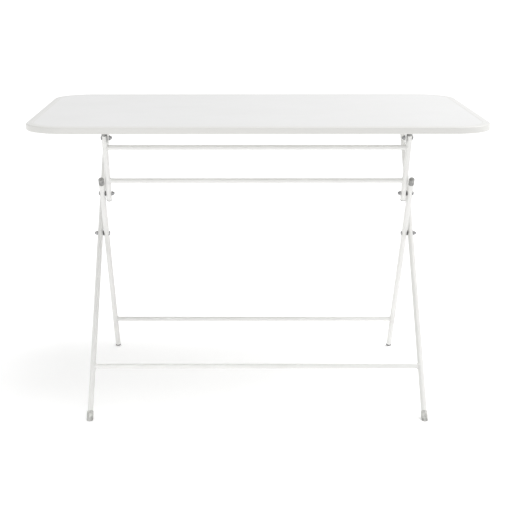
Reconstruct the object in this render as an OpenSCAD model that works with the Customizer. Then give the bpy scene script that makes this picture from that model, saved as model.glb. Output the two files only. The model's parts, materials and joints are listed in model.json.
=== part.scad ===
// Folding table: pressed steel top on two crossed tube leg frames, held open by a strut frame.
// Millimetres, +Z up. The origin is on the floor under the middle of the top, +Y to the rear.

/* [Tabletop] */
// Length of the top, side to side
top_l = 1100; // [1000:10:1320]
// Depth of the top, front to rear
top_w = 700; // [680:10:840]
// Height of the top above the floor
top_h = 720; // [600:10:864]
// Thickness of the sheet steel
sheet_t = 1; // [0.8:0.1:1.5]
// Depth of the turned-down rim
rim_h = 17; // [12:1:25]
// Width of the hem turned in under the rim
hem_w = 7; // [4:1:12]
// Radius of the corners in plan
corner_r = 100; // [60:5:130]
// Radius of the bend along the edge
edge_r = 4; // [2:0.5:6]

/* [Tubes] */
// Outer diameter of the leg and strut tubes
tube_d = 14; // [12:0.5:17]
// Wall of every tube
tube_wall = 1.2; // [1:0.1:2]
// Outer diameter of the cross bars
bar_d = 12; // [10:0.5:14]
// Distance from the middle of the table to the long leg tubes
long_leg_x = 408; // [330:1:470]

/* [Pivots] */
// Front foot on the floor, from the middle, towards the front
front_foot_y = 334; // [300:1:336]
// Rear foot on the floor, from the middle, towards the rear
rear_foot_y = 276; // [230:1:330]
// Leg crossing, towards the rear
cross_y = 15; // [0:1:40]
// Leg crossing to strut pivot, along the short leg
strut_pivot_run = 146.6; // [122:0.2:176]
// Front hinge, from the middle, towards the front
front_hinge_y = 141.7; // [118:0.1:170]
// Front hinge, below the top surface
front_hinge_drop = 55; // [46:1:66]
// Rear hinge, from the middle, towards the rear
rear_hinge_y = 283.46; // [236:0.01:310]
// Rear hinge, below the top surface
rear_hinge_drop = 30; // [27:1:36]

/* [Cross bars] */
// Upper rung of the struts, from the front hinge, along the strut
upper_rung_run = 29; // [24:1:35]
// Lower rung of the struts, from the strut pivot, along the strut
lower_rung_run = 39.6; // [33:0.1:47]
// Bar of the short legs, above the floor
rear_bar_z = 98; // [80:1:120]
// Bar of the long legs, above the floor
front_bar_z = 106; // [88:1:128]

/* [Caps] */
// Length of the grey head of a tube end cap
cap_len = 19; // [12:1:24]
// Length of a long leg's foot cap
foot_len = 22.5; // [18:0.5:30]
// Wall of a foot cap around its leg
foot_wall = 1; // [0.75:0.25:2]
// Height of a long leg's lower end above the floor, inside its cap
foot_sole = 6; // [4:0.5:9]
// Height of a short leg's lower end above the floor, on its plug
foot_plug_h = 7; // [5:0.5:10]
// Rounding of an end cap's rim
cap_round = 2.8; // [1:0.2:4]
// Thickness of the flat head of a plug
plug_head = 2; // [1:0.5:3]
// Depth that a plug or cap goes into its tube
plug_depth = 12; // [8:1:16]
// Short leg tube beyond the strut pivot
short_leg_over = 31.5; // [20:0.5:36]
// Strut tube beyond the front hinge
strut_over = 8; // [7:0.5:12]
// Strut tube beyond the strut pivot
strut_under = 19; // [12:0.5:24]
// Long leg tube beyond the rear hinge
long_leg_over = 10; // [8:0.5:12]

/* [Fasteners] */
// Diameter of the pivot bolts
bolt_d = 6; // [5:0.5:8]
// Diameter of a bolt head
head_d = 11; // [9:0.5:13]
// Height of a bolt head
head_h = 2.6; // [2:0.2:3.2]
// Straight edge of a bolt head, below its dome
head_edge = 0.8; // [0.4:0.1:1.2]
// Width of an acorn nut across its flats
nut_w = 10; // [8:0.5:13]
// Height of an acorn nut's hexagon
nut_h = 3.5; // [3:0.5:6]
// Step from a nut's flats in to its dome
nut_step = 0.6; // [0.2:0.1:1]
// Length of a bolt's end beyond the hexagon, inside the dome
nut_over = 1; // [0.5:0.25:2]
// Outer diameter of a washer
washer_d = 13; // [11:0.5:16]
// Thickness of a washer
washer_t = 1.6; // [1.2:0.1:2.4]

/* [Brackets] */
// Thickness of the hinge brackets
bracket_t = 2; // [1.5:0.25:3]
// Width of a hinge bracket, front to rear
bracket_w = 32; // [26:1:40]
// Width of the flange that joins a bracket to the top
flange_w = 26; // [18:1:34]
// Stop lug's height
lug_h = 12; // [8:1:14]
// Stop lug's lower edge above the front hinge
lug_rise = 14; // [12:1:18]
// Stop lug's reach past the strut's centre line
lug_reach = 3.5; // [0:0.5:6]

/* [Stiffeners] */
// Length of a stiffener
stiffener_l = 660; // [400:10:700]
// Width of a stiffener's crown
crown_w = 34; // [20:1:50]
// Depth of a stiffener
stiffener_h = 12; // [8:1:16]
// Width of each stiffener flange
stiffener_lip = 10; // [6:1:16]
// Distance of each stiffener from the middle
stiffener_y = 190; // [100:5:230]

/* [Clearances] */
// Radial clearance of a bolt in its hole
bolt_fit = 0.08; // [0.02:0.01:0.1]
// Radial clearance of a plug in its tube
plug_fit = 0.1; // [0.05:0.05:0.3]
// Gap between moving faces
face_gap = 0.2; // [0.1:0.1:0.4]
// Gap along a tube between a bolt and the end of a plug
stem_gap = 1; // [0.5:0.25:2]

/* [Hidden] */

$fn = 48;
plan_fn = 96;
paint = [0.93, 0.93, 0.92];
cap_grey = [0.62, 0.62, 0.62];
zinc = [0.72, 0.72, 0.73];
dark = [0.12, 0.12, 0.12];

tube_bore = tube_d - 2 * tube_wall;
bar_bore = bar_d - 2 * tube_wall;
hole_d = bolt_d + 2 * bolt_fit;

// The tubes turn side by side, a washer apart
plane_step = tube_d + washer_t + 2 * face_gap;
short_leg_x = long_leg_x - plane_step;
strut_x = short_leg_x - plane_step;

// Points in the side view, as [y, z]
front_foot = [-front_foot_y, 0];
rear_foot = [rear_foot_y, 0];
rear_hinge = [rear_hinge_y, top_h - rear_hinge_drop];
long_dir = unit(rear_hinge - front_foot);
crossing = front_foot + long_dir * (cross_y + front_foot_y) / long_dir[0];
short_dir = unit(crossing - rear_foot);
strut_pivot = crossing + short_dir * strut_pivot_run;
front_hinge = [-front_hinge_y, top_h - front_hinge_drop];
strut_dir = unit(front_hinge - strut_pivot);
long_leg_len = norm(rear_hinge - front_foot) + long_leg_over;
short_leg_len = norm(strut_pivot - rear_foot) + short_leg_over;
strut_run = norm(front_hinge - strut_pivot);
strut_start = strut_pivot - strut_dir * strut_under;
strut_len = strut_under + strut_run + strut_over;

sheet_z = top_h - sheet_t;

// The stem of a cap or plug stays short of the bolt in its tube
strut_top_stem = strut_over - bolt_d / 2 - stem_gap;
strut_bottom_stem = min(plug_depth, strut_under - bolt_d / 2 - stem_gap);
long_leg_stem = long_leg_over - bolt_d / 2 - stem_gap;
short_leg_stem = min(plug_depth, short_leg_over - bolt_d / 2 - stem_gap);

// How far a bolt goes into its nut, and from a tube to its bracket's far face
nut_grip = nut_h + nut_over;
plate_step = washer_t + 2 * face_gap + bracket_t;

// A cut runs this far past the faces that it goes through
cut_over = 1;
// Longer than the cuts along a slanted tube
cut_len = 4 * tube_d;

function unit(v) = v / norm(v);
function lean(dir) = -atan2(dir[0], dir[1]);
function bar_run(z, dir) = z / dir[1];

// Puts its children, drawn along +Z, at a side-view point and along a side-view direction
module along(x, point, dir) {
    translate([x, point[0], point[1]]) rotate([lean(dir), 0, 0]) children();
}

// Draws the right-hand piece as it is and the left-hand one mirrored
module right_side() {
    children();
}

module left_side() {
    mirror([1, 0, 0]) children();
}

module both_sides() {
    right_side() children();
    left_side() children();
}

module x_rod(x, point, d, len) {
    translate([x, point[0], point[1]]) rotate([0, 90, 0]) cylinder(d = d, h = len);
}

module rounded_outline(l, w, r) {
    square([l - 2 * r, w], center = true);
    square([l, w - 2 * r], center = true);
    for (sx = [-1, 1], sy = [-1, 1])
        translate([sx * (l / 2 - r), sy * (w / 2 - r)]) circle(r = r, $fn = plan_fn);
}

// The top as a solid block with a bent edge, shrunk all over by inset
module top_block(inset, z_low) {
    l = top_l - 2 * inset;
    w = top_w - 2 * inset;
    r = corner_r - inset;
    e = edge_r - inset;
    z_edge = top_h - edge_r;
    translate([0, 0, z_low]) linear_extrude(z_edge - z_low) rounded_outline(l, w, r);
    translate([0, 0, z_edge]) linear_extrude(e) rounded_outline(l - 2 * e, w - 2 * e, r - e);
    for (sx = [-1, 1]) {
        translate([sx * (l / 2 - e), 0, z_edge]) rotate([90, 0, 0])
            cylinder(r = e, h = w - 2 * r, center = true);
        translate([0, sx * (w / 2 - e), z_edge]) rotate([0, 90, 0])
            cylinder(r = e, h = l - 2 * r, center = true);
    }
    for (turn = [0, 1, 2, 3])
        translate([(turn == 0 || turn == 3 ? 1 : -1) * (l / 2 - r),
            (turn < 2 ? 1 : -1) * (w / 2 - r), z_edge])
            rotate([0, 0, 90 * turn]) rotate_extrude(angle = 90, $fn = plan_fn)
                translate([r - e, 0]) intersection() {
                    circle(r = e);
                    translate([0, -e]) square([e, 2 * e]);
                }
}

module top_panel() {
    z_low = top_h - rim_h;
    color(paint) {
        difference() {
            top_block(0, z_low);
            top_block(sheet_t, z_low - sheet_t);
        }
        translate([0, 0, z_low]) linear_extrude(sheet_t) difference() {
            rounded_outline(top_l - sheet_t, top_w - sheet_t, corner_r - sheet_t / 2);
            rounded_outline(top_l - 2 * hem_w, top_w - 2 * hem_w, corner_r - hem_w);
        }
    }
}

// A hat section under the sheet, open towards it
module stiffener(y) {
    half = crown_w / 2;
    lip = half + stiffener_lip;
    t = sheet_t;
    color(paint) translate([-stiffener_l / 2, y, sheet_z]) rotate([90, 0, 90])
        linear_extrude(stiffener_l) polygon([[-lip, 0], [-lip, -t], [-half, -t],
            [-half, -stiffener_h], [half, -stiffener_h], [half, -t], [lip, -t], [lip, 0],
            [half - t, 0], [half - t, t - stiffener_h], [t - half, t - stiffener_h], [t - half, 0]]);
}

module front_stiffener() {
    stiffener(-stiffener_y);
}

module rear_stiffener() {
    stiffener(stiffener_y);
}

// An L bracket: a round-nosed plate on the inner side of a tube, and a flange under the sheet
module hinge_bracket(tube_x, hinge) {
    plate_x = tube_x - tube_d / 2 - plate_step;
    drop = sheet_z - hinge[1];
    difference() {
        union() {
            translate([plate_x, hinge[0] - bracket_w / 2, hinge[1]]) cube([bracket_t, bracket_w, drop]);
            x_rod(plate_x, hinge, bracket_w, bracket_t);
            translate([plate_x - flange_w, hinge[0] - bracket_w / 2, sheet_z - bracket_t])
                cube([flange_w + bracket_t, bracket_w, bracket_t]);
        }
        x_rod(plate_x - cut_over, hinge, hole_d, bracket_t + 2 * cut_over);
    }
}

// A lug behind the strut's top end, which the strut comes to rest on
module stop_lug() {
    plate_x = strut_x - tube_d / 2 - plate_step;
    low = front_hinge[1] + lug_rise;
    axis_y = front_hinge[0] + strut_dir[0] / strut_dir[1] * lug_rise;
    lug_y = axis_y + tube_d / 2 / strut_dir[1] + face_gap;
    translate([plate_x, lug_y, low]) cube([strut_x + lug_reach - plate_x, bracket_t, lug_h]);
}

module front_hinge_bracket() {
    color(paint) {
        hinge_bracket(strut_x, front_hinge);
        stop_lug();
    }
}

module front_hinge_bracket_left() {
    left_side() front_hinge_bracket();
}

module front_hinge_bracket_right() {
    right_side() front_hinge_bracket();
}

module rear_hinge_bracket() {
    color(paint) hinge_bracket(long_leg_x, rear_hinge);
}

module rear_hinge_bracket_left() {
    left_side() rear_hinge_bracket();
}

module rear_hinge_bracket_right() {
    right_side() rear_hinge_bracket();
}

// A tube from a point along a direction, with bolt holes at the given distances
module pivot_tube(x, start, dir, from, len, holes) {
    color(paint) difference() {
        along(x, start + dir * from, dir) difference() {
            cylinder(d = tube_d, h = len - from);
            translate([0, 0, -cut_over]) cylinder(d = tube_bore, h = len - from + 2 * cut_over);
        }
        for (run = holes) x_rod(x - tube_d, start + dir * run, hole_d, 2 * tube_d);
    }
}

module strut() {
    pivot_tube(strut_x, strut_start, strut_dir, 0, strut_len, [strut_under, strut_under + strut_run]);
}

module strut_left() {
    left_side() strut();
}

module strut_right() {
    right_side() strut();
}

module short_leg() {
    pivot_tube(short_leg_x, rear_foot, short_dir, foot_plug_h / short_dir[1], short_leg_len,
        [norm(crossing - rear_foot), norm(strut_pivot - rear_foot)]);
}

module short_leg_left() {
    left_side() short_leg();
}

module short_leg_right() {
    right_side() short_leg();
}

module long_leg() {
    pivot_tube(long_leg_x, front_foot, long_dir, foot_sole / long_dir[1], long_leg_len,
        [norm(crossing - front_foot), norm(rear_hinge - front_foot)]);
}

module long_leg_left() {
    left_side() long_leg();
}

module long_leg_right() {
    right_side() long_leg();
}

// A hollow bar between the two tubes of a frame, coped to them
module cross_bar(x, point, dir) {
    color(paint) difference() {
        x_rod(-x, point, bar_d, 2 * x);
        x_rod(-x - cut_over, point, bar_bore, 2 * (x + cut_over));
        for (sx = [-1, 1])
            along(sx * x, point, dir) cylinder(d = tube_d, h = cut_len, center = true);
    }
}

module strut_upper_rung() {
    cross_bar(strut_x, front_hinge - strut_dir * upper_rung_run, strut_dir);
}

module strut_lower_rung() {
    cross_bar(strut_x, strut_pivot + strut_dir * lower_rung_run, strut_dir);
}

module short_leg_bar() {
    cross_bar(short_leg_x, rear_foot + short_dir * bar_run(rear_bar_z, short_dir), short_dir);
}

module long_leg_bar() {
    cross_bar(long_leg_x, front_foot + long_dir * bar_run(front_bar_z, long_dir), long_dir);
}

// The stem that holds a cap or plug in its tube, below z = 0
module stem(depth) {
    translate([0, 0, -depth]) cylinder(d = tube_bore - 2 * plug_fit, h = depth);
}

// A long domed cap on a tube's end, flush with the tube
module end_cap(x, point, dir, depth) {
    color(cap_grey) along(x, point, dir) {
        stem(depth);
        cylinder(d = tube_d, h = cap_len - cap_round);
        translate([0, 0, cap_len - cap_round]) cylinder(d = tube_d - 2 * cap_round, h = cap_round);
        translate([0, 0, cap_len - cap_round]) rotate_extrude()
            translate([tube_d / 2 - cap_round, 0]) intersection() {
                circle(r = cap_round);
                square(cap_round);
            }
    }
}

// A thin flat plug in a tube's end
module end_plug(x, point, dir, depth) {
    color(cap_grey) along(x, point, dir) {
        stem(depth);
        cylinder(d = tube_d, h = plug_head);
    }
}

module strut_top_cap() {
    end_cap(strut_x, front_hinge + strut_dir * strut_over, strut_dir, strut_top_stem);
}

module strut_top_cap_left() {
    left_side() strut_top_cap();
}

module strut_top_cap_right() {
    right_side() strut_top_cap();
}

module strut_bottom_plug() {
    end_plug(strut_x, strut_start, -strut_dir, strut_bottom_stem);
}

module strut_bottom_plug_left() {
    left_side() strut_bottom_plug();
}

module strut_bottom_plug_right() {
    right_side() strut_bottom_plug();
}

module short_leg_top_cap() {
    end_cap(short_leg_x, rear_foot + short_dir * short_leg_len, short_dir, short_leg_stem);
}

module short_leg_top_cap_left() {
    left_side() short_leg_top_cap();
}

module short_leg_top_cap_right() {
    right_side() short_leg_top_cap();
}

module long_leg_top_plug() {
    end_plug(long_leg_x, front_foot + long_dir * long_leg_len, long_dir, long_leg_stem);
}

module long_leg_top_plug_left() {
    left_side() long_leg_top_plug();
}

module long_leg_top_plug_right() {
    right_side() long_leg_top_plug();
}

// Its children, drawn up a leg from the floor, with what is below the floor cut away
module level_foot(x, foot, dir) {
    color(cap_grey) difference() {
        along(x, foot, dir) children();
        translate([x, foot[0], -cut_len]) cube([4 * cut_len, 4 * cut_len, 2 * cut_len], center = true);
    }
}

// A plug in a short leg's lower end, flush with the tube
module short_leg_foot() {
    start = foot_plug_h / short_dir[1];
    level_foot(short_leg_x, rear_foot, short_dir) union() {
        translate([0, 0, -cut_len]) cylinder(d = tube_d, h = start + cut_len);
        translate([0, 0, start + plug_depth]) stem(start + plug_depth);
    }
}

module short_leg_foot_left() {
    left_side() short_leg_foot();
}

module short_leg_foot_right() {
    right_side() short_leg_foot();
}

// A cup over a long leg's lower end
module long_leg_foot() {
    start = foot_sole / long_dir[1];
    level_foot(long_leg_x, front_foot, long_dir) difference() {
        translate([0, 0, -cut_len]) cylinder(d = tube_d + 2 * foot_wall, h = foot_len + cut_len);
        translate([0, 0, start]) cylinder(d = tube_d, h = foot_len);
    }
}

module long_leg_foot_left() {
    left_side() long_leg_foot();
}

module long_leg_foot_right() {
    right_side() long_leg_foot();
}

// A domed bolt: the head's flat face is at x, and the shank runs along side * X
module bolt(x, point, shank, side) {
    dome_h = head_h - head_edge;
    sphere_r = (head_d * head_d / 4 + dome_h * dome_h) / (2 * dome_h);
    color(zinc) translate([x, point[0], point[1]]) rotate([0, 90 * side, 0]) {
        cylinder(d = bolt_d, h = shank);
        translate([0, 0, -head_edge]) cylinder(d = head_d, h = head_edge);
        translate([0, 0, -head_edge]) rotate_extrude() intersection() {
            translate([0, sphere_r - head_h + head_edge]) circle(r = sphere_r, $fn = plan_fn);
            translate([0, -head_h]) square([head_d / 2, head_h]);
        }
    }
}

// An acorn nut on its face at x, its dome towards side * X, with a blind bore for the bolt's end
module acorn_nut(x, point, side, bore_depth) {
    dome_r = nut_w / 2 - nut_step;
    color(zinc) translate([x, point[0], point[1]]) rotate([0, 90 * side, 0]) difference() {
        union() {
            cylinder(d = nut_w / cos(30), h = nut_h, $fn = 6);
            translate([0, 0, nut_h]) sphere(r = dome_r);
            cylinder(r = dome_r, h = nut_h);
        }
        translate([0, 0, -cut_over]) cylinder(d = bolt_d, h = bore_depth + cut_over);
    }
}

module washer(x, point) {
    color(dark) difference() {
        x_rod(x, point, washer_d, washer_t);
        x_rod(x - cut_over, point, hole_d, washer_t + 2 * cut_over);
    }
}

// Bolts of a hinge: tube outside, then washer, bracket plate and nut
module hinge_bolt(tube_x, point) {
    bolt(tube_x + tube_d / 2 + face_gap, point, tube_d + plate_step + 2 * face_gap + nut_grip, -1);
}

module hinge_nut(tube_x, point) {
    acorn_nut(tube_x - tube_d / 2 - plate_step - face_gap, point, -1, nut_grip);
}

module front_hinge_bolts() {
    both_sides() hinge_bolt(strut_x, front_hinge);
}

module front_hinge_nuts() {
    both_sides() hinge_nut(strut_x, front_hinge);
}

module front_hinge_washers() {
    both_sides() washer(strut_x - tube_d / 2 - face_gap - washer_t, front_hinge);
}

module rear_hinge_bolts() {
    both_sides() hinge_bolt(long_leg_x, rear_hinge);
}

module rear_hinge_nuts() {
    both_sides() hinge_nut(long_leg_x, rear_hinge);
}

module rear_hinge_washers() {
    both_sides() washer(long_leg_x - tube_d / 2 - face_gap - washer_t, rear_hinge);
}

// Bolts of the leg crossing: head inside the short leg, nut outside the long leg
module leg_pivot_bolts() {
    both_sides() bolt(short_leg_x - tube_d / 2 - face_gap, crossing,
        plane_step + tube_d + 2 * face_gap + nut_grip, 1);
}

module leg_pivot_nuts() {
    both_sides() acorn_nut(long_leg_x + tube_d / 2 + face_gap, crossing, 1, nut_grip);
}

module leg_pivot_washers() {
    both_sides() washer(short_leg_x + tube_d / 2 + face_gap, crossing);
}

// The strut pivot's bolt is in two parts that meet inside the washer's plane
module strut_pivot_bolts() {
    both_sides() bolt(short_leg_x + tube_d / 2 + face_gap, strut_pivot, tube_d + face_gap, -1);
}

module strut_pivot_nuts() {
    inner_x = strut_x - tube_d / 2 - face_gap;
    both_sides() {
        acorn_nut(inner_x, strut_pivot, -1, 0);
        color(zinc) x_rod(inner_x, strut_pivot, bolt_d, tube_d + face_gap);
    }
}

module strut_pivot_washers() {
    both_sides() washer(strut_x + tube_d / 2 + face_gap, strut_pivot);
}

top_panel();
front_stiffener();
rear_stiffener();
front_hinge_bracket_left();
front_hinge_bracket_right();
rear_hinge_bracket_left();
rear_hinge_bracket_right();
strut_left();
strut_right();
strut_upper_rung();
strut_lower_rung();
strut_top_cap_left();
strut_top_cap_right();
strut_bottom_plug_left();
strut_bottom_plug_right();
short_leg_left();
short_leg_right();
short_leg_bar();
short_leg_top_cap_left();
short_leg_top_cap_right();
short_leg_foot_left();
short_leg_foot_right();
long_leg_left();
long_leg_right();
long_leg_bar();
long_leg_top_plug_left();
long_leg_top_plug_right();
long_leg_foot_left();
long_leg_foot_right();
front_hinge_bolts();
front_hinge_nuts();
front_hinge_washers();
rear_hinge_bolts();
rear_hinge_nuts();
rear_hinge_washers();
leg_pivot_bolts();
leg_pivot_nuts();
leg_pivot_washers();
strut_pivot_bolts();
strut_pivot_nuts();
strut_pivot_washers();
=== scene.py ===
import json
import math

import bpy
import bmesh
from mathutils import Matrix, Vector, noise


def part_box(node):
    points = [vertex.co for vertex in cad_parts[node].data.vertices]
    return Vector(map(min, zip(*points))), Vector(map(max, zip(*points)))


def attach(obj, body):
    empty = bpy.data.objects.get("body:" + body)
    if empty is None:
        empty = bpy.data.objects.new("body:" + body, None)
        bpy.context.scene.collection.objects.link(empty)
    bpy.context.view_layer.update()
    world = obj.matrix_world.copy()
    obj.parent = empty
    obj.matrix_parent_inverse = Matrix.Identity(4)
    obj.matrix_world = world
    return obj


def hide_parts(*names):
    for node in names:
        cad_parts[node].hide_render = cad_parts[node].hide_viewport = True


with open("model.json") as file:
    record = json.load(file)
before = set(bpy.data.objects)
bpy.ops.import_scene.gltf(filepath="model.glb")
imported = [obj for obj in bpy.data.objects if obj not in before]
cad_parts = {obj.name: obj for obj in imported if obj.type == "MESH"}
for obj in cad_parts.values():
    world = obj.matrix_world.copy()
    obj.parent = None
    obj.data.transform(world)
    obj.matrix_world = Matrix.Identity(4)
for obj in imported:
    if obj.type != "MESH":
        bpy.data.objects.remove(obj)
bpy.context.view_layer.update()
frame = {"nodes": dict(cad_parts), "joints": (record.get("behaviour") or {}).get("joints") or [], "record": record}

mm = 0.001
print("folding table: frame loaded")


# camera: a long lens a little left of the middle and above the top

cameraSettings = {
    "place": (-0.058, -3.2847, 1.1166),
    "turnLeft": 0.226,   # degrees
    "tiltDown": 13.127,  # degrees
    "roll": -0.069,      # degrees
    "lens": 89.635,      # millimetres
    "sensor": 36.0,      # millimetres
    "shift": (0.0564, -0.0169),
}


def makeCamera():
    s = cameraSettings
    data = bpy.data.cameras.new("camera")
    data.sensor_width = s["sensor"]
    data.lens = s["lens"]
    data.shift_x, data.shift_y = s["shift"]
    camera = bpy.data.objects.new("camera", data)
    turn = math.radians(s["turnLeft"])
    tilt = math.radians(s["tiltDown"])
    look = Vector((
        -math.sin(turn) * math.cos(tilt),
        math.cos(turn) * math.cos(tilt),
        -math.sin(tilt)))
    level = look.to_track_quat("-Z", "Y").to_matrix()
    rolled = level @ Matrix.Rotation(math.radians(s["roll"]), 3, "Z")
    camera.location = s["place"]
    camera.rotation_euler = rolled.to_euler()
    bpy.context.scene.collection.objects.link(camera)
    bpy.context.scene.camera = camera


makeCamera()
print("folding table: camera placed")


# node helpers

def setOrLink(tree, socket, value):
    if isinstance(value, bpy.types.NodeSocket):
        tree.links.new(value, socket)
    else:
        socket.default_value = value


def addNoise(tree, coords, scale, detail, roughness):
    node = tree.nodes.new("ShaderNodeTexNoise")
    tree.links.new(coords, node.inputs["Vector"])
    setOrLink(tree, node.inputs["Scale"], scale)
    node.inputs["Detail"].default_value = detail
    node.inputs["Roughness"].default_value = roughness
    return node.outputs["Fac"]


def addMath(tree, operation, first, second):
    node = tree.nodes.new("ShaderNodeMath")
    node.operation = operation
    setOrLink(tree, node.inputs[0], first)
    setOrLink(tree, node.inputs[1], second)
    return node.outputs[0]


def addRange(tree, value, fromLow, fromHigh, toLow, toHigh):
    node = tree.nodes.new("ShaderNodeMapRange")
    tree.links.new(value, node.inputs["Value"])
    setOrLink(tree, node.inputs["From Min"], fromLow)
    setOrLink(tree, node.inputs["From Max"], fromHigh)
    setOrLink(tree, node.inputs["To Min"], toLow)
    setOrLink(tree, node.inputs["To Max"], toHigh)
    return node.outputs["Result"]


def addMix(tree, factor, first, second):
    node = tree.nodes.new("ShaderNodeMix")
    node.data_type = "RGBA"
    colours = [socket for socket in node.inputs if socket.type == "RGBA"]
    setOrLink(tree, node.inputs[0], factor)
    setOrLink(tree, colours[0], first)
    setOrLink(tree, colours[1], second)
    return [socket for socket in node.outputs if socket.type == "RGBA"][0]


def newGroup(name, inputs, outputs):
    group = bpy.data.node_groups.new(name, "ShaderNodeTree")
    for label, kind, value in inputs:
        socket = group.interface.new_socket(
            name=label, in_out="INPUT", socket_type="NodeSocket" + kind)
        socket.default_value = value
    for label, kind in outputs:
        group.interface.new_socket(
            name=label, in_out="OUTPUT", socket_type="NodeSocket" + kind)
    given = group.nodes.new("NodeGroupInput").outputs
    result = group.nodes.new("NodeGroupOutput").inputs
    coords = group.nodes.new("ShaderNodeTexCoord").outputs["Object"]
    return group, given, result, coords


def placeGroup(tree, group, **values):
    node = tree.nodes.new("ShaderNodeGroup")
    node.node_tree = group
    for label, value in values.items():
        setOrLink(tree, node.inputs[label.replace("_", " ")], value)
    return node.outputs


# effects that several finishes share

coatSprayShape = {
    "fineTimes": 3.1,         # finer than the grain
    "patch": (0.35, 0.68),
    "fleck": (0.62, 0.75),
    "fleckMost": 0.35,
    "patchSheen": 0.6,
    "grainSheen": 0.4,
    "fineRise": 0.3,
}

floorScuffShape = {
    "marks": (0.42, 0.72),
}

mottleShape = {
    "patch": (0.36, 0.64),
    "grain": (0.3, 0.7),
    "patchRise": 0.5,
}


def makeCoatSpray():
    s = coatSprayShape
    group, given, result, coords = newGroup(
        "coatSpray",
        [("Paint", "Color", (0.8, 0.8, 0.8, 1)), ("Thin Paint", "Color", (0.7, 0.7, 0.7, 1)),
         ("Grain Scale", "Float", 700.0), ("Cloud Scale", "Float", 6.0),
         ("Gloss Low", "Float", 0.3), ("Gloss High", "Float", 0.5)],
        [("Color", "Color"), ("Roughness", "Float"), ("Height", "Float")])
    fineScale = addMath(group, "MULTIPLY", given["Grain Scale"], s["fineTimes"])
    grain = addNoise(group, coords, given["Grain Scale"], detail=2.0, roughness=0.5)
    fine = addNoise(group, coords, fineScale, detail=1.0, roughness=0.5)
    cloud = addNoise(group, coords, given["Cloud Scale"], detail=4.0, roughness=0.6)
    patch = addRange(group, cloud, *s["patch"], 0.0, 1.0)
    fleck = addRange(group, fine, *s["fleck"], 0.0, s["fleckMost"])
    shade = addMath(group, "MAXIMUM", patch, fleck)
    group.links.new(addMix(group, shade, given["Paint"], given["Thin Paint"]), result["Color"])
    patchSheen = addMath(group, "MULTIPLY", patch, s["patchSheen"])
    grainSheen = addMath(group, "MULTIPLY", grain, s["grainSheen"])
    sheen = addMath(group, "ADD", patchSheen, grainSheen)
    gloss = addRange(group, sheen, 0.0, 1.0, given["Gloss Low"], given["Gloss High"])
    group.links.new(gloss, result["Roughness"])
    relief = addMath(group, "ADD", grain, addMath(group, "MULTIPLY", fine, s["fineRise"]))
    group.links.new(relief, result["Height"])
    return group


def makeFloorScuff():
    group, given, result, coords = newGroup(
        "floorScuff",
        [("Color", "Color", (0.8, 0.8, 0.8, 1)), ("Grime", "Color", (0.4, 0.4, 0.38, 1)),
         ("Fade Height", "Float", 0.12), ("Amount", "Float", 0.3), ("Mark Scale", "Float", 90.0)],
        [("Color", "Color"), ("Mask", "Float")])
    split = group.nodes.new("ShaderNodeSeparateXYZ")
    group.links.new(coords, split.inputs[0])
    low = addRange(group, split.outputs["Z"], given["Fade Height"], 0.0, 0.0, 1.0)
    specks = addNoise(group, coords, given["Mark Scale"], detail=5.0, roughness=0.7)
    marks = addRange(group, specks, *floorScuffShape["marks"], 0.0, 1.0)
    mask = addMath(group, "MULTIPLY", addMath(group, "MULTIPLY", low, marks), given["Amount"])
    group.links.new(addMix(group, mask, given["Color"], given["Grime"]), result["Color"])
    group.links.new(mask, result["Mask"])
    return group


def makeMottle():
    s = mottleShape
    group, given, result, coords = newGroup(
        "mottle",
        [("Light", "Color", (0.5, 0.5, 0.5, 1)), ("Dark", "Color", (0.3, 0.3, 0.3, 1)),
         ("Patch Scale", "Float", 120.0), ("Grain Scale", "Float", 1500.0),
         ("Gloss Low", "Float", 0.3), ("Gloss High", "Float", 0.6)],
        [("Color", "Color"), ("Roughness", "Float"), ("Height", "Float")])
    patches = addNoise(group, coords, given["Patch Scale"], detail=3.0, roughness=0.6)
    grain = addNoise(group, coords, given["Grain Scale"], detail=2.0, roughness=0.5)
    spread = addRange(group, patches, *s["patch"], 0.0, 1.0)
    group.links.new(addMix(group, spread, given["Light"], given["Dark"]), result["Color"])
    gloss = addRange(group, grain, *s["grain"], given["Gloss Low"], given["Gloss High"])
    group.links.new(gloss, result["Roughness"])
    relief = addMath(group, "ADD", grain, addMath(group, "MULTIPLY", patches, s["patchRise"]))
    group.links.new(relief, result["Height"])
    return group


coatSpray = makeCoatSpray()
floorScuff = makeFloorScuff()
mottle = makeMottle()


def newFinish(name, look, metallic=0.0):
    finish = bpy.data.materials.new(name)
    finish.use_nodes = True
    tree = finish.node_tree
    shader = tree.nodes["Principled BSDF"]
    shader.inputs["Metallic"].default_value = metallic
    shader.inputs["Specular IOR Level"].default_value = look["specular"]
    shader.inputs["Coat Weight"].default_value = look["varnish"]
    shader.inputs["Coat Roughness"].default_value = look["varnishRoughness"]
    return finish, tree, shader


def addBump(tree, shader, height, strength, depth):
    bump = tree.nodes.new("ShaderNodeBump")
    bump.inputs["Strength"].default_value = strength
    bump.inputs["Distance"].default_value = depth * mm
    tree.links.new(height, bump.inputs["Height"])
    tree.links.new(bump.outputs["Normal"], shader.inputs["Normal"])


def placeCoat(tree, look):
    return placeGroup(
        tree, coatSpray, Paint=look["paint"], Thin_Paint=look["thinPaint"],
        Grain_Scale=look["grainScale"], Cloud_Scale=look["cloudScale"],
        Gloss_Low=look["gloss"][0], Gloss_High=look["gloss"][1])


def placeMottle(tree, look):
    return placeGroup(
        tree, mottle, Light=look["light"], Dark=look["dark"],
        Patch_Scale=look["patchScale"], Grain_Scale=look["grainScale"],
        Gloss_Low=look["gloss"][0], Gloss_High=look["gloss"][1])


# finishes

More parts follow.
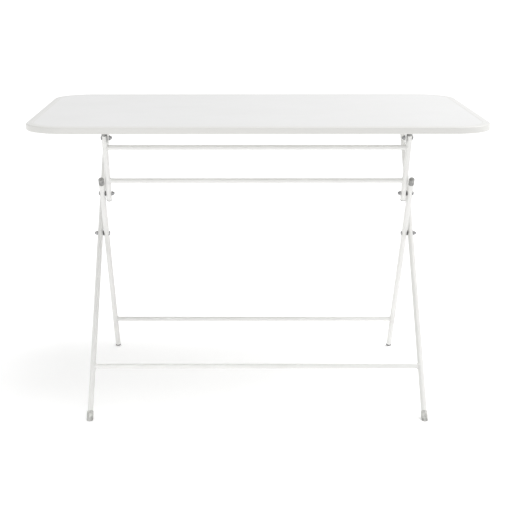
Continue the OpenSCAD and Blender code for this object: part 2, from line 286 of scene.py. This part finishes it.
topCoatLook = {
    "paint": (0.785, 0.786, 0.784, 1),
    "thinPaint": (0.76, 0.761, 0.756, 1),
    # painted shade: the sloped border band and the turned-down rim get darker, warmer colours, standing in for the
    # shade where they turn away from the light
    "borderShade": (0.71, 0.706, 0.68, 1),
    "rimShade": (0.708, 0.704, 0.68, 1),
    "grainScale": 620.0,
    "cloudScale": 3.2,
    "gloss": (0.3, 0.42),
    "specular": 0.45,
    "varnish": 0.12,
    "varnishRoughness": 0.25,
    "borderShadeLevel": (0.9995, 0.991),    # of the normal's Z, where the border's painted shade starts and is full
    "rimShadeLevel": (0.85, 0.25),          # and the same for the rim's painted shade
    "dentScale": 5.0,
    "dentShare": 14.0,
    "bump": 0.12,
    "bumpDepth": 0.05,
}


def makeTopCoat():
    s = topCoatLook
    finish, tree, shader = newFinish("topCoat", s)
    coat = placeCoat(tree, s)
    place = tree.nodes.new("ShaderNodeTexCoord").outputs
    split = tree.nodes.new("ShaderNodeSeparateXYZ")
    tree.links.new(place["Normal"], split.inputs[0])
    level = split.outputs["Z"]
    # painted shade: faces whose normals lean off the vertical, the border band and then the rim, are mixed to the
    # darker colours
    borderShadeMask = addRange(tree, level, *s["borderShadeLevel"], 0.0, 1.0)
    rim = addRange(tree, level, *s["rimShadeLevel"], 0.0, 1.0)
    borderShaded = addMix(tree, borderShadeMask, coat["Color"], s["borderShade"])
    tree.links.new(addMix(tree, rim, borderShaded, s["rimShade"]), shader.inputs["Base Color"])
    tree.links.new(coat["Roughness"], shader.inputs["Roughness"])
    # the sheet is never quite flat
    wave = addNoise(tree, place["Object"], s["dentScale"], detail=1.0, roughness=0.4)
    height = addMath(tree, "ADD", coat["Height"], addMath(tree, "MULTIPLY", wave, s["dentShare"]))
    addBump(tree, shader, height, s["bump"], s["bumpDepth"])
    return finish


frameCoatLook = {
    "paint": (0.772, 0.771, 0.757, 1),
    "thinPaint": (0.74, 0.738, 0.72, 1),
    "grime": (0.5, 0.49, 0.46, 1),
    "grainScale": 800.0,
    "cloudScale": 9.0,
    "gloss": (0.3, 0.46),
    "specular": 0.45,
    "varnish": 0.06,
    "varnishRoughness": 0.3,
    "scuffHeight": 0.16,
    "scuffAmount": 0.16,
    "scuffScale": 75.0,
    "bump": 0.07,
    "weldBump": 0.3,
    "bumpDepth": 0.06,
}


def makeFrameCoat(name, bumpStrength):
    s = frameCoatLook
    finish, tree, shader = newFinish(name, s)
    coat = placeCoat(tree, s)
    scuffed = placeGroup(
        tree, floorScuff, Color=coat["Color"], Grime=s["grime"],
        Fade_Height=s["scuffHeight"], Amount=s["scuffAmount"], Mark_Scale=s["scuffScale"])
    tree.links.new(scuffed["Color"], shader.inputs["Base Color"])
    rough = addMath(tree, "ADD", coat["Roughness"], scuffed["Mask"])
    tree.links.new(rough, shader.inputs["Roughness"])
    addBump(tree, shader, coat["Height"], bumpStrength, s["bumpDepth"])
    return finish


plasticLook = {
    "specular": 0.5,
    "varnish": 0.0,
    "varnishRoughness": 0.1,
    "scuffHeight": 0.014,
    "scuffScale": 240.0,
    "bump": 0.25,
    "bumpDepth": 0.05,
}

capLook = {
    "light": (0.37, 0.37, 0.36, 1),
    "dark": (0.21, 0.21, 0.205, 1),
    "patchScale": 95.0,
    "grainScale": 1800.0,
    "gloss": (0.34, 0.55),
    "scuffAmount": 0.0,
}

footLook = {
    "light": (0.66, 0.66, 0.635, 1),
    "dark": (0.31, 0.31, 0.295, 1),
    "grime": (0.1, 0.1, 0.095, 1),
    "patchScale": 105.0,
    "grainScale": 1500.0,
    "gloss": (0.3, 0.52),
    "scuffAmount": 0.85,
}

# the short legs' flush plugs: real plastic plugs, and their dark grey also stands in as painted shade for the
# shadow along the foot's lower edge
solePlugAndShadeLook = {
    "light": (0.2, 0.2, 0.195, 1),
    "dark": (0.1, 0.1, 0.098, 1),
    "grime": (0.05, 0.05, 0.048, 1),
    "patchScale": 140.0,
    "grainScale": 1500.0,
    "gloss": (0.36, 0.58),
    "scuffAmount": 0.6,
}

nylonLook = {
    "light": (0.13, 0.13, 0.13, 1),
    "dark": (0.07, 0.07, 0.07, 1),
    "patchScale": 300.0,
    "grainScale": 2200.0,
    "gloss": (0.4, 0.6),
    "scuffAmount": 0.0,
}


def makePlastic(name, look):
    s = {**plasticLook, **look}
    finish, tree, shader = newFinish(name, s)
    moulded = placeMottle(tree, s)
    colour = moulded["Color"]
    if s["scuffAmount"] > 0:
        colour = placeGroup(
            tree, floorScuff, Color=colour, Grime=s["grime"], Fade_Height=s["scuffHeight"],
            Amount=s["scuffAmount"], Mark_Scale=s["scuffScale"])["Color"]
    tree.links.new(colour, shader.inputs["Base Color"])
    tree.links.new(moulded["Roughness"], shader.inputs["Roughness"])
    addBump(tree, shader, moulded["Height"], s["bump"], s["bumpDepth"])
    return finish


zincLook = {
    "light": (0.47, 0.47, 0.475, 1),
    "dark": (0.2, 0.2, 0.205, 1),
    "patchScale": 260.0,
    "grainScale": 2600.0,
    "gloss": (0.24, 0.42),
    "specular": 0.5,
    "varnish": 0.0,
    "varnishRoughness": 0.1,
    "bump": 0.2,
    "bumpDepth": 0.03,
}


def makeZinc():
    s = zincLook
    finish, tree, shader = newFinish("zincPlate", s, metallic=1.0)
    plate = placeMottle(tree, s)
    tree.links.new(plate["Color"], shader.inputs["Base Color"])
    tree.links.new(plate["Roughness"], shader.inputs["Roughness"])
    addBump(tree, shader, plate["Height"], s["bump"], s["bumpDepth"])
    return finish


topCoat = makeTopCoat()
frameCoat = makeFrameCoat("frameCoat", frameCoatLook["bump"])
weldCoat = makeFrameCoat("weldCoat", frameCoatLook["weldBump"])
capPlastic = makePlastic("capPlastic", capLook)
footPlastic = makePlastic("footPlastic", footLook)
solePlasticAndShade = makePlastic("solePlasticAndShade", solePlugAndShadeLook)
zincPlate = makeZinc()
washerNylon = makePlastic("washerNylon", nylonLook)
print("folding table: finishes made")

nodeFinishes = {
    "white_enamel": frameCoat,
    "grey_plastic": capPlastic,
    "zinc_steel": zincPlate,
    "black_nylon": washerNylon,
}


def finishNodes():
    slots = {part["node"]: part["material_slot"] for part in frame["record"]["subparts"]}
    for name, piece in frame["nodes"].items():
        for place in piece.material_slots:
            place.material = nodeFinishes[slots[name]]


finishNodes()
print("folding table: finishes put on the frame's nodes")


# mesh helpers

def newPiece(name, shape, finish, body):
    mesh = bpy.data.meshes.new(name)
    bmesh.ops.recalc_face_normals(shape, faces=shape.faces)
    shape.to_mesh(mesh)
    shape.free()
    piece = bpy.data.objects.new(name, mesh)
    bpy.context.scene.collection.objects.link(piece)
    mesh.materials.append(finish)
    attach(piece, body)
    return piece


def smoothFaces(shape, sharpDegrees):
    limit = math.radians(sharpDegrees)
    shape.normal_update()
    for face in shape.faces:
        face.smooth = True
    for edge in shape.edges:
        if len(edge.link_faces) == 2:
            edge.smooth = edge.calc_face_angle(0.0) < limit


def joinRings(shape, rings):
    for low, high in zip(rings, rings[1:]):
        count = len(low)
        for i in range(count):
            j = (i + 1) % count
            shape.faces.new((low[i], low[j], high[j], high[i]))


def boxMiddle(name):
    low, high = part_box(name)
    return (Vector(low) + Vector(high)) / 2


def nodeWidth(name):
    low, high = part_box(name)
    return (high[0] - low[0]) / mm


# table top: one pressed sheet with a soft crease inside the edge, a turned-down rim and a hem

topShape = {
    "cornerRadius": 100.0,
    "arcSteps": 30,
    "sideSteps": (26, 16),    # long sides, short sides
    "creaseInset": 15.5,
    "recess": 0.55,           # the middle lies this far below the crest of the border
    "stepWidth": 3.0,
    # inward from the step's end, and down from the recess
    "stepFoot": ((1.5, 0.0), (0.4, -0.02), (-0.2, -0.08)),
    # inward from the crease, and down from the crest
    "crest": ((0.4, 0.08), (-0.4, 0.01), (-1.2, 0.04), (-2.5, 0.16), (-6.0, 0.52)),
    "edgeFall": 1.3,
    "edgeRadius": 3.2,
    "edgeSteps": 8,
    "edgeStart": (0.8, 0.02),
    "rimDepth": 17.0,
    "rimBend": 1.4,
    "rimSteps": 5,
    "hemWidth": 7.0,
    "hemRound": 0.3,
    "sheet": 1.0,
    # inward from the sheet's inside, and up from the rim's bend
    "hemCorner": ((0.15, 0.1), (0.0, 0.6)),
    "innerRim": 0.4,
    "innerCorner": (0.7, 1.2),
    "innerFall": (0.6, 0.05),
    "innerCrest": ((-2.0, 0.15), (1.0, 0.0), (5.0, 0.0)),
    "flatInset": 60.0,
}


def topProfile():
    s = topShape
    fall, bend, crease = s["edgeFall"], s["edgeRadius"], s["creaseInset"]
    recess, step = s["recess"], s["stepWidth"]
    outer = [(s["flatInset"], recess)]
    outer += [(crease + step + inset, recess + drop) for inset, drop in s["stepFoot"]]
    outer += [(crease + inset, drop) for inset, drop in s["crest"]]
    startInset, startDrop = s["edgeStart"]
    outer.append((bend + startInset, fall))
    for i in range(s["edgeSteps"] + 1):
        angle = math.radians(90 * i / s["edgeSteps"])
        outer.append((
            bend * (1 - math.sin(angle)),
            fall + bend * (1 - math.cos(angle)) + startDrop))
    rimBend, depth, sheet = s["rimBend"], s["rimDepth"], s["sheet"]
    for i in range(s["rimSteps"] + 1):
        angle = math.radians(90 * i / s["rimSteps"])
        outer.append((rimBend * (1 - math.cos(angle)), depth - rimBend * (1 - math.sin(angle))))
    width, lip = s["hemWidth"], s["hemRound"]
    hem = [(width - lip, depth), (width, depth - lip), (width, depth - sheet + lip),
        (width - lip, depth - sheet), (rimBend + lip, depth - sheet)]
    hem += [(sheet + inset, depth - rimBend - rise) for inset, rise in s["hemCorner"]]
    cornerInset, cornerDrop = s["innerCorner"]
    fallInset, fallDrop = s["innerFall"]
    inner = [(sheet, fall + bend + s["innerRim"]), (sheet + cornerInset, fall + sheet + cornerDrop),
        (bend + fallInset, fall + sheet + fallDrop)]
    inner += [(crease + inset, sheet + drop) for inset, drop in s["innerCrest"]]
    inner.append((s["flatInset"], sheet))
    return outer + hem + inner


def topRing(shape, inset, drop):
    s = topShape
    low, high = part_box("top_panel")
    corner = s["cornerRadius"] * mm
    middleX, middleY = (high[0] - low[0]) / 2 - corner, (high[1] - low[1]) / 2 - corner
    radius = (s["cornerRadius"] - inset) * mm
    ring = []
    corners = ((1, -1, -90), (1, 1, 0), (-1, 1, 90), (-1, -1, 180))
    for index, (sideX, sideY, start) in enumerate(corners):
        middle = Vector((sideX * middleX, sideY * middleY))
        for i in range(s["arcSteps"] + 1):
            angle = math.radians(start + 90 * i / s["arcSteps"])
            ring.append(middle + radius * Vector((math.cos(angle), math.sin(angle))))
        nextX, nextY, nextStart = corners[(index + 1) % 4]
        turn = math.radians(nextStart)
        nextMiddle = Vector((nextX * middleX, nextY * middleY))
        nextPoint = nextMiddle + radius * Vector((math.cos(turn), math.sin(turn)))
        steps = s["sideSteps"][(index + 1) % 2]
        lastPoint = ring[-1]
        for i in range(1, steps):
            ring.append(lastPoint.lerp(nextPoint, i / steps))
    return [shape.verts.new((point.x, point.y, high[2] - drop * mm)) for point in ring]


def makeTop():
    shape = bmesh.new()
    rings = [topRing(shape, inset, drop) for inset, drop in topProfile()]
    joinRings(shape, rings)
    shape.faces.new(rings[0])
    shape.faces.new(rings[-1][::-1])
    smoothFaces(shape, sharpDegrees=50)
    piece = newPiece("tableTop", shape, topCoat, "tabletop")
    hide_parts("top_panel")


makeTop()
print("folding table: top pressed")


# side lines of the three frames, from the joints

joints = {joint["name"]: joint for joint in frame["joints"]}
rearHinge = Vector(joints["top_fold"]["pos_m"])
crossing = Vector(joints["leg_fold"]["pos_m"])
frontHinge = Vector(joints["strut_fold"]["pos_m"])
strutPivot = boxMiddle("strut_pivot_bolts")
for point in (rearHinge, crossing, frontHinge, strutPivot):
    point.x = 0
longLine = (rearHinge - crossing).normalized()
shortLine = (strutPivot - crossing).normalized()
strutLine = (frontHinge - strutPivot).normalized()
acrossX = Vector((1, 0, 0))


# weld beads where the cross bars meet their tubes

weldShape = {
    "bead": 1.5,
    "ripple": 0.35,
    "steps": 72,
    "sides": 10,
    "lift": 0.35,             # of the bead's middle off the bar and the tube
    "scallops": 16,
    "scallopRise": 0.18,
    "wobbleSpan": 4,
    "wobbleShift": 1.7,
    "seedStep": 3.1,
    "edgeGap": 0.2,           # the bead stays this far inside the tube's edge
}


def addWeld(shape, middle, barRadius, tubeX, tubeRadius, line, seed):
    s = weldShape
    side = 1 if tubeX > 0 else -1
    across = acrossX.cross(line)
    rings = []
    reach = barRadius + s["lift"]
    for i in range(s["steps"]):
        angle = 2 * math.pi * i / s["steps"]
        offset = reach * (math.cos(angle) * line + math.sin(angle) * across)
        offLine = min(reach * abs(math.sin(angle)), tubeRadius - s["edgeGap"])
        depth = math.sqrt(tubeRadius ** 2 - offLine ** 2)
        beadX = tubeX - side * (depth + s["lift"]) * mm
        centre = Vector((beadX, middle.y, middle.z)) + offset * mm
        outward = offset.normalized()
        span = s["wobbleSpan"]
        wobble = noise.noise(Vector((
            math.cos(angle) * span + seed, math.sin(angle) * span, seed * s["wobbleShift"])))
        scallop = 0.5 + 0.5 * math.sin(angle * s["scallops"] + seed)
        radius = s["bead"] * (1 + s["ripple"] * wobble) + s["scallopRise"] * scallop
        ring = []
        for k in range(s["sides"]):
            turn = 2 * math.pi * k / s["sides"]
            spread = math.cos(turn) * outward + math.sin(turn) * acrossX
            ring.append(shape.verts.new(centre + radius * mm * spread))
        rings.append(ring)
    joinRings(shape, rings + [rings[0]])


def makeWelds(name, body, bars, tube, line):
    low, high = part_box(bars[0])
    barRadius = (high[2] - low[2]) / mm / 2
    shape = bmesh.new()
    tubeX = boxMiddle(tube).x
    tubeRadius = nodeWidth(tube) / 2
    for index, bar in enumerate(bars):
        for side in (-1, 1):
            seed = weldShape["seedStep"] * index + side
            addWeld(shape, boxMiddle(bar), barRadius, side * tubeX, tubeRadius, line, seed)
    smoothFaces(shape, sharpDegrees=60)
    newPiece(name, shape, weldCoat, body)


makeWelds("strutWelds", "strut_frame", ("strut_upper_rung", "strut_lower_rung"), "strut_right",
    strutLine)
makeWelds("shortLegWelds", "short_leg_frame", ("short_leg_bar",), "short_leg_right", shortLine)
makeWelds("longLegWelds", "long_leg_frame", ("long_leg_bar",), "long_leg_right", longLine)
print("folding table: weld beads laid")


# feet: turned cups with a rolled lip on the long legs, flush plugs in the short ones, all cut level

soleShape = {
    "steps": 48,
    "below": 30.0,            # past the level cut
    "round": 0.7,
    "roundSteps": 3,
}

cupShape = {
    "bore": 7.05,
    "wall": 1.0,
    "length": 22.5,
    "sideFrom": 1.0,
    "taper": 0.08,
    "grooveAt": 17.0,
    "grooveHalf": 1.0,
    "grooveDepth": 0.35,
    "lipFrom": 2.6,
    "lipRound": ((0.08, 1.0), (0.35, 0.3), (0.7, 0.0)),    # in from the side, down from the top
    "boreDrop": 0.15,
    "tubeEnd": 9.0,
}

plugShape = {
    "radius": 7.0,
    "height": 7.0,
    "rimRound": 0.5,
    "rimMiddle": 0.15,
    "stem": 5.7,
    "stemDepth": 12.0,
}


def cupProfile():
    s = cupShape
    outer, top, groove = s["bore"] + s["wall"], s["length"], s["grooveAt"]
    below, taper, half = soleShape["below"], s["taper"], s["grooveHalf"]
    side = [(0, -below), (outer, -below), (outer, s["sideFrom"]), (outer - taper, groove - half),
        (outer - s["grooveDepth"], groove), (outer - taper, groove + half),
        (outer, top - s["lipFrom"])]
    lip = [(outer - inward, top - down) for inward, down in s["lipRound"]]
    inside = [(s["bore"], top - s["boreDrop"]), (s["bore"], s["tubeEnd"]), (0, s["tubeEnd"])]
    return side + lip + inside


def plugProfile(line):
    s = plugShape
    radius, top, rim = s["radius"], s["height"] / line.z, s["rimRound"]
    below, middle = soleShape["below"], s["rimMiddle"]
    return [(0, -below), (radius, -below), (radius, top - rim), (radius - middle, top - middle),
        (radius - rim, top), (s["stem"], top), (s["stem"], top + s["stemDepth"]),
        (0, top + s["stemDepth"])]


def makeFoot(name, body, node, line, profile, finish):
    s = soleShape
    axisFoot = crossing - line * (crossing.z / line.z) + acrossX * boxMiddle(node).x
    side = line.cross(acrossX)
    shape = bmesh.new()
    rings = []
    for radius, height in profile:
        ring = []
        for i in range(s["steps"]):
            angle = 2 * math.pi * i / s["steps"]
            across = radius * (math.cos(angle) * acrossX + math.sin(angle) * side)
            ring.append(shape.verts.new(axisFoot + (line * height + across) * mm))
        rings.append(ring)
    joinRings(shape, rings)
    bmesh.ops.remove_doubles(shape, verts=shape.verts, dist=1e-6)
    everything = shape.verts[:] + shape.edges[:] + shape.faces[:]
    cut = bmesh.ops.bisect_plane(
        shape, geom=everything, plane_co=(0, 0, 0), plane_no=(0, 0, 1), clear_inner=True)
    rim = [item for item in cut["geom_cut"] if isinstance(item, bmesh.types.BMEdge)]
    sole = bmesh.ops.contextual_create(shape, geom=rim)["faces"]
    edges = [edge for face in sole for edge in face.edges]
    bmesh.ops.bevel(
        shape, geom=edges, offset=s["round"] * mm, segments=s["roundSteps"], profile=0.5,
        affect="EDGES")
    smoothFaces(shape, sharpDegrees=45)
    piece = newPiece(name, shape, finish, body)
    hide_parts(node)


for hand in ("left", "right"):
    makeFoot("longLegFoot." + hand, "long_leg_frame", "long_leg_foot_" + hand, longLine,
        cupProfile(), footPlastic)
    makeFoot("shortLegFoot." + hand, "short_leg_frame", "short_leg_foot_" + hand, shortLine,
        plugProfile(shortLine), solePlasticAndShade)
print("folding table: feet turned")


# acorn nuts: chamfered hexagon, washer face and a dome

nutShape = {
    "flats": 10.0,
    "hexHeight": 3.5,
    "hexStart": 0.2,          # above the washer face
    "chamfer": 0.7,
    "washerFace": 0.25,
    "seatShare": 0.97,        # of the hexagon's flats
    "faceShare": 0.985,
    "crownShare": 0.98,
    "domeStep": 0.6,
    "domeSteps": 12,
    "sides": 48,
    "shankRadius": 3.0,
    "shankEnd": 0.3,
    "shankOver": 0.2,         # past the strut, to the washer's face
    "shankSides": 32,
}
# from the seat to the dome's top
nutTip = nutShape["hexHeight"] + nutShape["flats"] / 2 - nutShape["domeStep"]


def roundRing(shape, place, along, radius, sides):
    ring = []
    for i in range(sides):
        angle = 2 * math.pi * i / sides
        offset = (along * mm, radius * mm * math.cos(angle), radius * mm * math.sin(angle))
        ring.append(shape.verts.new(place + Vector(offset)))
    return ring


def hexRing(shape, place, along, flat, sides):
    ring = []
    for i in range(sides):
        angle = 2 * math.pi * i / sides
        fromFlat = (angle + math.pi / 6) % (math.pi / 3) - math.pi / 6
        reach = flat / math.cos(fromFlat)
        offset = (along * mm, reach * mm * math.cos(angle), reach * mm * math.sin(angle))
        ring.append(shape.verts.new(place + Vector(offset)))
    return ring


def addNut(shape, place, side):
    s = nutShape
    flat, hexTop, sides, washerFace = s["flats"] / 2, s["hexHeight"], s["sides"], s["washerFace"]
    domeRadius = flat - s["domeStep"]
    domeStart = hexTop + washerFace
    rings = [
        roundRing(shape, place, 0.0, flat * s["seatShare"], sides),
        roundRing(shape, place, side * washerFace, flat * s["faceShare"], sides),
        hexRing(shape, place, side * (washerFace + s["hexStart"]), flat, sides),
        hexRing(shape, place, side * (hexTop - s["chamfer"]), flat, sides),
        roundRing(shape, place, side * hexTop, flat * s["crownShare"], sides),
        roundRing(shape, place, side * domeStart, domeRadius, sides)]
    for i in range(1, s["domeSteps"]):
        angle = math.radians(90 * i / s["domeSteps"])
        height = domeStart + (nutTip - domeStart) * math.sin(angle)
        rings.append(roundRing(shape, place, side * height, domeRadius * math.cos(angle), sides))
    joinRings(shape, rings)
    shape.faces.new(rings[0][::-1])
    shape.faces.new(rings[-1])


def addShank(shape, place, side, length):
    s = nutShape
    radius, end = s["shankRadius"], s["shankEnd"]
    rings = [
        roundRing(shape, place, 0.0, radius, s["shankSides"]),
        roundRing(shape, place, side * (length - end), radius, s["shankSides"]),
        roundRing(shape, place, side * length, radius - end, s["shankSides"])]
    joinRings(shape, rings)
    shape.faces.new(rings[0][::-1])
    shape.faces.new(rings[-1])


def makeNuts(name, body, node, outward, shank):
    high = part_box(node)[1]
    middle = boxMiddle(node)
    seatX = high[0] - (nutTip if outward else shank) * mm
    shape = bmesh.new()
    for side in (-1, 1):
        seat = Vector((side * seatX, middle.y, middle.z))
        addNut(shape, seat, side if outward else -side)
        if shank > 0:
            addShank(shape, seat, side, shank)
    smoothFaces(shape, sharpDegrees=30)
    piece = newPiece(name, shape, zincPlate, body)
    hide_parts(node)


strutShank = nodeWidth("strut_right") + nutShape["shankOver"]
makeNuts("frontHingeNuts", "tabletop", "front_hinge_nuts", False, 0.0)
makeNuts("rearHingeNuts", "tabletop", "rear_hinge_nuts", False, 0.0)
makeNuts("legPivotNuts", "long_leg_frame", "leg_pivot_nuts", True, 0.0)
makeNuts("strutPivotNuts", "strut_frame", "strut_pivot_nuts", False, strutShank)
print("folding table: nuts made")


# spot welds under the top, on the stiffeners' flanges and on the brackets

spotShape = {
    "radius": 2.6,
    "rise": 0.35,
    "pitch": 66.0,
    "fromEdge": 5.0,          # from a stiffener's edge
    "stiffenerSheet": 1.0,
    "bracketSheet": 2.0,
    "bracketWidth": 32.0,
    "onBracket": 11.0,        # from the bracket flange's inner edge
    "bracketShares": (-0.25, 0.25),
    "profile": ((1.0, -0.3), (1.0, 0.0), (0.82, 0.7), (0.55, 1.0), (0.3, 0.75), (0.1, 0.6)),
    "sides": 20,
}


def addSpot(shape, x, y, z):
    s = spotShape
    rings = []
    for share, rise in s["profile"]:
        ring = []
        for i in range(s["sides"]):
            angle = 2 * math.pi * i / s["sides"]
            reach = share * s["radius"] * mm
            acrossSpot, alongSpot = reach * math.cos(angle), reach * math.sin(angle)
            ring.append(shape.verts.new((x + acrossSpot, y + alongSpot, z - rise * s["rise"] * mm)))
        rings.append(ring)
    joinRings(shape, rings)
    shape.faces.new(rings[0][::-1])
    shape.faces.new(rings[-1])


def makeSpots():
    s = spotShape
    shape = bmesh.new()
    for node in ("front_stiffener", "rear_stiffener"):
        low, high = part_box(node)
        length = high[0] - low[0]
        count = int(length / (s["pitch"] * mm))
        for i in range(count):
            x = low[0] + (i + 0.5) * length / count
            for y in (low[1] + s["fromEdge"] * mm, high[1] - s["fromEdge"] * mm):
                addSpot(shape, x, y, high[2] - s["stiffenerSheet"] * mm)
    for end in ("front", "rear"):
        low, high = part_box(end + "_hinge_bracket_right")
        middleY = boxMiddle(end + "_hinge_bolts").y
        for side in (-1, 1):
            for share in s["bracketShares"]:
                addSpot(shape, side * (low[0] + s["onBracket"] * mm),
                    middleY + share * s["bracketWidth"] * mm, high[2] - s["bracketSheet"] * mm)
    smoothFaces(shape, sharpDegrees=50)
    newPiece("spotWelds", shape, frameCoat, "tabletop")


makeSpots()
print("folding table: spot welds made")


# studio: a pale floor and soft light, brighter from the right

floorLook = {
    "paint": (0.97, 0.97, 0.97, 1),
    "thinPaint": (0.9603, 0.9603, 0.9603, 0.99),
    "grainScale": 60.0,
    "cloudScale": 0.8,
    "gloss": (0.75, 0.85),
    "specular": 0.2,
    "varnish": 0.0,
    "varnishRoughness": 0.1,
    "glow": 0.2,
}

studio = {
    "floorSize": 160.0,
    "floorDrop": 0.0005,
    "sky": 0.74,
    "sun": (1.3, -0.3, 4.2),       # where it shines from
    "sunPower": 0.9,
    "sunSpread": 38.0,             # degrees
    "lights": [
        # name, place, aim, size, power, spread in degrees
        ("sideLight", (1.6, 0.1, 1.95), (0.45, -0.1, 0.72), 0.9, 10.5, 180.0),
        ("lowFill", (-0.9, -2.8, 0.12), (-0.1, 0.1, 0.0), 0.8, 0.6, 26.0),
    ],
}


def makeStudio():
    s = studio
    world = bpy.data.worlds.new("studioSky")
    world.use_nodes = True
    background = world.node_tree.nodes["Background"]
    background.inputs["Color"].default_value = (1, 1, 1, 1)
    background.inputs["Strength"].default_value = s["sky"]
    bpy.context.scene.world = world
    sunData = bpy.data.lights.new("sun", "SUN")
    sunData.energy = s["sunPower"]
    sunData.angle = math.radians(s["sunSpread"])
    sun = bpy.data.objects.new("sun", sunData)
    sun.rotation_euler = (-Vector(s["sun"])).to_track_quat("-Z", "Y").to_euler()
    bpy.context.scene.collection.objects.link(sun)
    for name, place, aim, size, power, spread in s["lights"]:
        data = bpy.data.lights.new(name, "AREA")
        data.shape = "DISK"
        data.size = size
        data.energy = power
        data.spread = math.radians(spread)
        light = bpy.data.objects.new(name, data)
        light.location = place
        light.rotation_euler = (Vector(aim) - Vector(place)).to_track_quat("-Z", "Y").to_euler()
        bpy.context.scene.collection.objects.link(light)
    finish, tree, shader = newFinish("floorPaint", floorLook)
    coat = placeCoat(tree, floorLook)
    tree.links.new(coat["Color"], shader.inputs["Base Color"])
    tree.links.new(coat["Roughness"], shader.inputs["Roughness"])
    shader.inputs["Emission Color"].default_value = (1, 1, 1, 1)
    shader.inputs["Emission Strength"].default_value = floorLook["glow"]
    half = s["floorSize"] / 2
    mesh = bpy.data.meshes.new("floor")
    corners = [(-half, -half, 0), (half, -half, 0), (half, half, 0), (-half, half, 0)]
    mesh.from_pydata(corners, [], [(0, 1, 2, 3)])
    mesh.materials.append(finish)
    floor = bpy.data.objects.new("floor", mesh)
    floor.location.z = -s["floorDrop"]
    bpy.context.scene.collection.objects.link(floor)
    bpy.context.scene.view_settings.view_transform = "Standard"


makeStudio()
print("folding table: studio lit")
